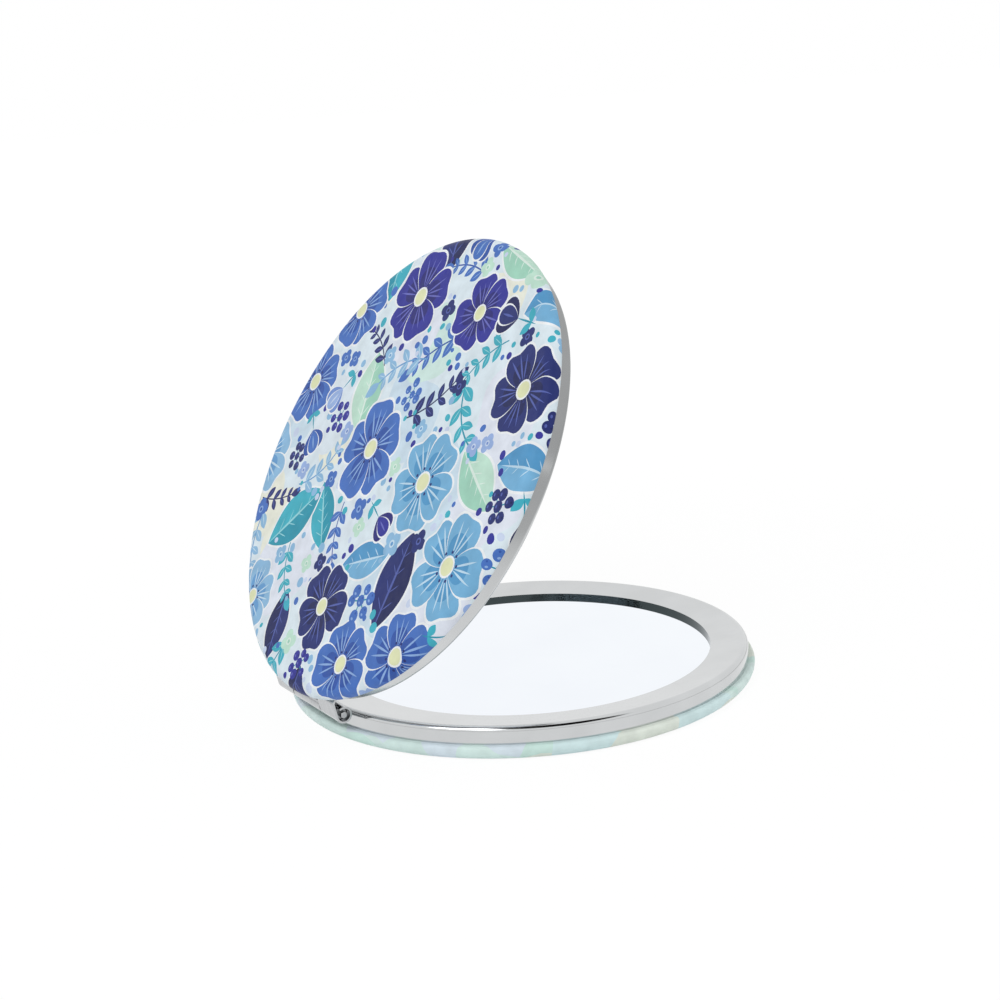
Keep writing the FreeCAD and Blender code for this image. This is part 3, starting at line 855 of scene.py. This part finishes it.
def plant(seed, planted_reach, washes, wash_count):
    """The outlines and colours of a whole print, lowest first, with its motifs centred within a reach."""
    rng = random.Random(seed)
    shapes = []
    taken = []

    def draw(motif, spot, radius):
        turned = Matrix.Rotation(rng.uniform(0, TAU), 2)
        for outline, colour in motif:
            shapes.append(([turned @ point * radius + spot for point in outline], colour))

    for _ in range(wash_count):
        spot = polar(WASHED * math.sqrt(rng.random()), rng.uniform(0, TAU))
        draw(patch(rng, rng.choice(washes)), spot, rng.uniform(*PATCH_RADII))
    planted = []
    for maker, count, least, greatest, clear, choices in PLANTING:
        placed = 0
        for _ in range(count * TRIES):
            if placed == count:
                break
            spot = polar(planted_reach * math.sqrt(rng.random()), rng.uniform(0, TAU))
            radius = rng.uniform(least, greatest)
            if any((spot - other).length < radius * clear + room for other, room in taken):
                continue
            taken.append((spot, radius * clear))
            planted.append((maker, spot, radius, choices[placed % len(choices)]))
            placed += 1
    planted.sort(key=lambda entry: entry[0] in UPPER_MOTIFS)
    for maker, spot, radius, colours in planted:
        draw(maker(rng, colours), spot, radius)
    return shapes


# Covers

FLAT_RADIUS = COVER_RADIUS - EDGE_ROUND
FOLD_RADIUS = COVER_RADIUS - LEATHER
# Distances along the leather from its middle to the end of its rounded edge, its fold and its hem
EDGE_END = FLAT_RADIUS + EDGE_ROUND * QUARTER_TURN
FOLD_START = EDGE_END + EDGE_FLAT
FOLD_END = FOLD_START + LEATHER * QUARTER_TURN
SKIN_END = FOLD_END + FOLD_RADIUS - HEM_INNER
# How far the padding swells the middle
CROWNS = {"base": 0.0, "lid": 0.22}
# Circles of points that divide the flat middle: the distance between them and the points on each
MIDDLE_STEP = 3
MIDDLE_AROUND = 48
# Points nearer than this are one point, and a point this near to the hem's end lies on it
WELD = 1e-5
HEM_NEAR = 0.001
# The seed of each print, the reach of its motifs, and the colours and number of its ground's washes;
# the base's edge keeps to the ground's pale colours
PRINTS = {"base": (41, 22.0, BASE_WASHES, 90), "lid": (12, 37.5, LID_WASHES, 26)}


def skin_profile(crown, along):
    """Radius, height and normal of the skin at a distance along the leather from its middle."""
    if along <= FLAT_RADIUS:
        share = (along / FLAT_RADIUS) ** 2
        slope = crown * 4 * (1 - share) * along / FLAT_RADIUS ** 2
        normal = Vector((slope, -1)).normalized()
        return along, -crown * (1 - share) ** 2, normal
    if along <= EDGE_END:
        turn = (along - FLAT_RADIUS) / EDGE_ROUND
        normal = Vector((math.sin(turn), -math.cos(turn)))
        return FLAT_RADIUS + EDGE_ROUND * normal.x, EDGE_ROUND * (1 + normal.y), normal
    if along <= FOLD_START:
        return COVER_RADIUS, EDGE_ROUND + along - EDGE_END, Vector((1, 0))
    if along <= FOLD_END:
        turn = (along - FOLD_START) / LEATHER
        normal = Vector((math.cos(turn), math.sin(turn)))
        return FOLD_RADIUS + LEATHER * normal.x, COVER_TOP - LEATHER + LEATHER * normal.y, normal
    return FOLD_RADIUS - (along - FOLD_END), COVER_TOP, Vector((0, 1))


def ring_distances():
    """Distances along the leather at which the skin is divided so that it bends smoothly."""
    edge_length = EDGE_END - FLAT_RADIUS
    fold_length = FOLD_END - FOLD_START
    edge = [FLAT_RADIUS + edge_length * step / EDGE_STEPS for step in range(EDGE_STEPS + 1)]
    fold = [FOLD_START + fold_length * step / FOLD_STEPS for step in range(FOLD_STEPS + 1)]
    return edge + fold + [SKIN_END]


def inside_profile():
    """Radii and heights of the skin's inside, from the hem's edge round to its flat middle."""
    inside_round = EDGE_ROUND - LEATHER
    inside = [(HEM_INNER, COVER_TOP - LEATHER), (FOLD_RADIUS, COVER_TOP - LEATHER)]
    for step in range(FOLD_STEPS + 1):
        turn = QUARTER_TURN * step / FOLD_STEPS
        radius = FLAT_RADIUS + inside_round * math.cos(turn)
        inside.append((radius, EDGE_ROUND - inside_round * math.sin(turn)))
    return inside


def divide_skin(shapes):
    """The flat skin as points and triangles, divided along its folds and its print's outlines."""
    flat = []
    edges = []
    for distance in ring_distances():
        first = len(flat)
        flat += [polar(distance, TAU * step / AROUND) for step in range(AROUND)]
        edges += [(first + step, first + (step + 1) % AROUND) for step in range(AROUND)]
    for distance in range(MIDDLE_STEP, int(FLAT_RADIUS), MIDDLE_STEP):
        flat += [polar(distance, TAU * step / MIDDLE_AROUND) for step in range(MIDDLE_AROUND)]
    for outline, _ in shapes:
        first = len(flat)
        count = len(outline)
        flat += outline
        edges += [(first + step, first + (step + 1) % count) for step in range(count)]
    spots, _, triangles, _, _, _ = delaunay_2d_cdt(flat, edges, [], 0, WELD, False)
    return spots, triangles


def print_colours(spots, triangles, shapes):
    """The colour of each triangle: that of the uppermost outline round its middle, or the ground's."""
    corners = np.array([spots[index] for triangle in triangles for index in triangle]).reshape(-1, 3, 2)
    middles = corners.mean(axis=1)
    owners = np.full(len(triangles), -1)
    for number, (outline, _) in enumerate(shapes):
        ends = np.array(outline)
        low = ends.min(axis=0)
        high = ends.max(axis=0)
        near = np.flatnonzero(((middles > low) & (middles < high)).all(axis=1))
        across, up = middles[near].T
        inside = np.zeros(len(near), bool)
        for (x0, y0), (x1, y1) in zip(ends, np.roll(ends, -1, axis=0)):
            if y0 == y1:
                continue
            crosses = (y0 > up) != (y1 > up)
            inside ^= crosses & (across < x0 + (up - y0) * (x1 - x0) / (y1 - y0))
        owners[near[inside]] = number
    return [shapes[owner][1] if owner >= 0 else GROUND for owner in owners]


def paint_print(mesh, colours):
    """Puts each face's colour in the mesh."""
    paint = mesh.color_attributes.new("print", "FLOAT_COLOR", "CORNER")
    corner_colours = []
    for polygon in mesh.polygons:
        corner_colours += colours[polygon.index] * polygon.loop_total
    paint.data.foreach_set("color", corner_colours)


def make_cover(half):
    """The padded cover: a printed skin, flat or slightly crowned, rolled up its edge and hemmed."""
    shapes = plant(*PRINTS[half])
    spots, triangles = divide_skin(shapes)
    points = []
    normals = []
    for spot in spots:
        along = min(spot.length, SKIN_END)
        outward = spot.normalized() if along else Vector((1, 0))
        radius, height, normal = skin_profile(CROWNS[half], along)
        points.append((outward.x * radius, outward.y * radius, height))
        normals.append((outward.x * normal.x, outward.y * normal.x, normal.y))
    faces = [tuple(reversed(triangle)) for triangle in triangles]
    colours = print_colours(spots, triangles, shapes)

    # The inside of the skin, from the hem's edge on
    hem_end = [index for index, spot in enumerate(spots) if spot.length > SKIN_END - HEM_NEAR]
    rim = sorted(hem_end, key=lambda index: math.atan2(spots[index].y, spots[index].x))
    above = rim
    for radius, height in inside_profile():
        below = []
        for index in rim:
            outward = spots[index].normalized()
            below.append(len(points))
            points.append((outward.x * radius, outward.y * radius, height))
            normals.append((0, 0, 0))
        for step in range(len(rim)):
            following = (step + 1) % len(rim)
            faces.append((above[step], above[following], below[following], below[step]))
        above = below
    faces.append(tuple(above))
    colours += [WHITE] * (len(faces) - len(colours))

    mesh = new_mesh(f"{half}_leather", points, faces)
    paint_print(mesh, colours)
    mesh.shade_smooth()
    mesh.normals_split_custom_set_from_vertices(normals)
    cover = add_object(f"{half}_leather", mesh)
    settle(cover, half, LEATHER_LOOK, "printed_leather", f"{half}_cover", f"{half}_foam")


# The CAD model's own meshes that stay, and their materials
INNER_LOOKS = {
    "board": BOARD,
    "cover_tape": TAPE,
    "tray": STEEL,
    "magnet": MAGNET,
    "mirror_tape": TAPE,
    "mirror": MIRROR,
}

for side_name in ("base", "lid"):
    make_ring(side_name)
    make_leaf(side_name)
    make_cover(side_name)
    for part, look in INNER_LOOKS.items():
        node = frame["nodes"][f"{side_name}_{part}"]
        node.data.materials.clear()
        node.data.materials.append(look)
make_pin()


# Stage and light, in metres and degrees

FLOOR_SIZE = 6.0
FLOOR_DROP = 0.00003
FLOOR_COLOUR = (0.92, 0.92, 0.92, 1)
# The share of the floor's glow as it is seen near the object, and the glow's strength
FLOOR_GLOW = 0.9
FLOOR_WHITE = 1.03
# The object's shadow fades out between these distances, and beyond them the floor is plain white
SHADOW_REACH = 0.1
PLAIN_REACH = 0.4
# In the metal, the floor is white near the object and greyer further out
NEAR_FLOOR = 0.046
FAR_FLOOR = 0.11
FAR_FLOOR_GREY = 0.55
# Strength of the light from the surroundings, which are at 1 as they are seen
AMBIENT = 0.62
# Soft-edged cards: name, turn to the right of the camera, elevation, half width, half height, darkness,
# and the pieces in which the card is as white as the rest of the surroundings
FLAGS = (
    ("flag", 20, 54, 0.56, 0.5, 1.0, ("base_mirror", "lid_mirror")),
    ("side_flag", 115, 12, 1.2, 0.55, 0.47, ("base_mirror", "lid_mirror", "base_ring")),
)
FLAG_DISTANCE = 1.0
# The share of a card's half sizes at which its soft edge starts
FLAG_CORE = 0.7
# Square lamps: name, place, size, power in watts, and whether reflections show the lamp
LAMPS = (
    ("key", (-0.7, -0.35, 0.75), 0.6, 2.9, True),
    ("fill", (0.5, -0.7, 0.5), 0.6, 0.9, False),
)
LAMP_AIM = Vector((0, 0, 0.02))


def combine(tree, operation, first, second):
    """A value worked out from two others."""
    node = add_node(tree, "ShaderNodeMath", operation=operation)
    tree.links.new(first, node.inputs[0])
    tree.links.new(second, node.inputs[1])
    return node.outputs["Value"]


def seen_directly(tree):
    """1 for camera, glossy and transmission rays, which see the plain white surroundings."""
    rays = add_node(tree, "ShaderNodeLightPath").outputs
    camera_or_glossy = combine(tree, "MAXIMUM", rays["Is Camera Ray"], rays["Is Glossy Ray"])
    return combine(tree, "MAXIMUM", camera_or_glossy, rays["Is Transmission Ray"])


def middle_distance(tree):
    """The distance from the middle of the object that has the material, in its own coordinates."""
    place = add_node(tree, "ShaderNodeTexCoord")
    distance = add_node(tree, "ShaderNodeVectorMath", operation="LENGTH")
    tree.links.new(place.outputs["Object"], distance.inputs[0])
    return distance.outputs["Value"]


def mixed_material(name):
    """A material that mixes two shaders which are still to be linked, and the node that mixes them."""
    material, shader = new_material(name)
    tree = material.node_tree
    tree.nodes.remove(shader)
    mix = add_node(tree, "ShaderNodeMixShader")
    tree.links.new(mix.outputs["Shader"], tree.nodes["Material Output"].inputs["Surface"])
    return material, mix


def make_world():
    """White surroundings as seen directly, and a plain level of light from them."""
    world = bpy.data.worlds.new("studio")
    world.use_nodes = True
    tree = world.node_tree
    strength = map_range(tree, seen_directly(tree), FULL_RANGE, (AMBIENT, 1.0))
    background = tree.nodes["Background"]
    background.inputs["Color"].default_value = (1, 1, 1, 1)
    tree.links.new(strength, background.inputs["Strength"])
    bpy.context.scene.world = world


def floor_material():
    """A white floor that keeps the object's shadow, and that the metal sees greyer far out."""
    material, mix = mixed_material("floor_look")
    tree = material.node_tree
    distance = middle_distance(tree)
    diffuse = add_node(tree, "ShaderNodeBsdfDiffuse")
    diffuse.inputs["Color"].default_value = FLOOR_COLOUR
    glow = add_node(tree, "ShaderNodeEmission")
    rays = add_node(tree, "ShaderNodeLightPath").outputs
    reflected = map_range(tree, distance, (NEAR_FLOOR, FAR_FLOOR), (FLOOR_WHITE, FAR_FLOOR_GREY))
    strength = add_node(tree, "ShaderNodeMix", data_type="FLOAT")
    strength.inputs["A"].default_value = FLOOR_WHITE
    tree.links.new(rays["Is Glossy Ray"], strength.inputs["Factor"])
    tree.links.new(reflected, strength.inputs["B"])
    tree.links.new(strength.outputs["Result"], glow.inputs["Strength"])
    shadowless = map_range(tree, distance, (SHADOW_REACH, PLAIN_REACH), (FLOOR_GLOW, 1.0))
    tree.links.new(combine(tree, "MULTIPLY", seen_directly(tree), shadowless), mix.inputs["Fac"])
    tree.links.new(diffuse.outputs["BSDF"], mix.inputs[1])
    tree.links.new(glow.outputs["Emission"], mix.inputs[2])
    return material


def make_floor():
    """The floor that the object stands on."""
    reach = FLOOR_SIZE / 2
    corners = [(-reach, -reach, -FLOOR_DROP), (reach, -reach, -FLOOR_DROP),
               (reach, reach, -FLOOR_DROP), (-reach, reach, -FLOOR_DROP)]
    mesh = new_mesh("floor", corners, [(0, 1, 2, 3)])
    mesh.materials.append(floor_material())
    floor = add_object("floor", mesh)


def flag_material(name, darkest):
    """Clear at the card's edge; in its middle, a glow for the pieces that see it white, or else dark."""
    material, mix = mixed_material(f"{name}_look")
    tree = material.node_tree
    ends = (FLAG_CORE, 1.0)
    darkness = map_range(tree, middle_distance(tree), ends, (darkest, 0.0), interpolation_type="SMOOTHSTEP")
    glow = add_node(tree, "ShaderNodeEmission")
    clear = add_node(tree, "ShaderNodeBsdfTransparent")
    tree.links.new(darkness, mix.inputs["Fac"])
    tree.links.new(clear.outputs["BSDF"], mix.inputs[1])
    tree.links.new(glow.outputs["Emission"], mix.inputs[2])
    material.cycles.emission_sampling = "NONE"
    return material


def make_flag(name, turn, elevation, half_width, half_height, darkest, white_in):
    """A card that shows only in reflections, dark as the unlit side of a studio, and white in some pieces."""
    back, right = direction(CAMERA_AZIMUTH + turn, elevation)
    mesh = new_mesh(name, [(-1, -1, 0), (1, -1, 0), (1, 1, 0), (-1, 1, 0)], [(0, 1, 2, 3)])
    mesh.materials.append(flag_material(name, darkest))
    flag = add_object(name, mesh)
    turned = Matrix((right, back.cross(right), back)).transposed().to_4x4()
    size = Matrix.Diagonal((half_width, half_height, 1, 1))
    flag.matrix_world = Matrix.Translation(back * FLAG_DISTANCE) @ turned @ size
    flag.visible_camera = False
    flag.visible_diffuse = False
    flag.visible_shadow = False
    flag.visible_transmission = False
    lit = bpy.data.collections.new(f"{name}_lit")
    for piece_name in white_in:
        lit.objects.link(bpy.data.objects[piece_name])
    flag.light_linking.receiver_collection = lit


def make_lamp(name, place, size, power, in_metal):
    """A soft square lamp aimed at the object, which reflections may show or not."""
    data = bpy.data.lights.new(name, "AREA")
    data.size = size
    data.energy = power
    lamp = add_object(name, data)
    lamp.location = place
    lamp.rotation_euler = (LAMP_AIM - Vector(place)).to_track_quat("-Z", "Y").to_euler()
    lamp.visible_glossy = in_metal


make_world()
make_floor()
for flag_row in FLAGS:
    make_flag(*flag_row)
for lamp_row in LAMPS:
    make_lamp(*lamp_row)

scene = bpy.context.scene
scene.view_settings.view_transform = "Standard"
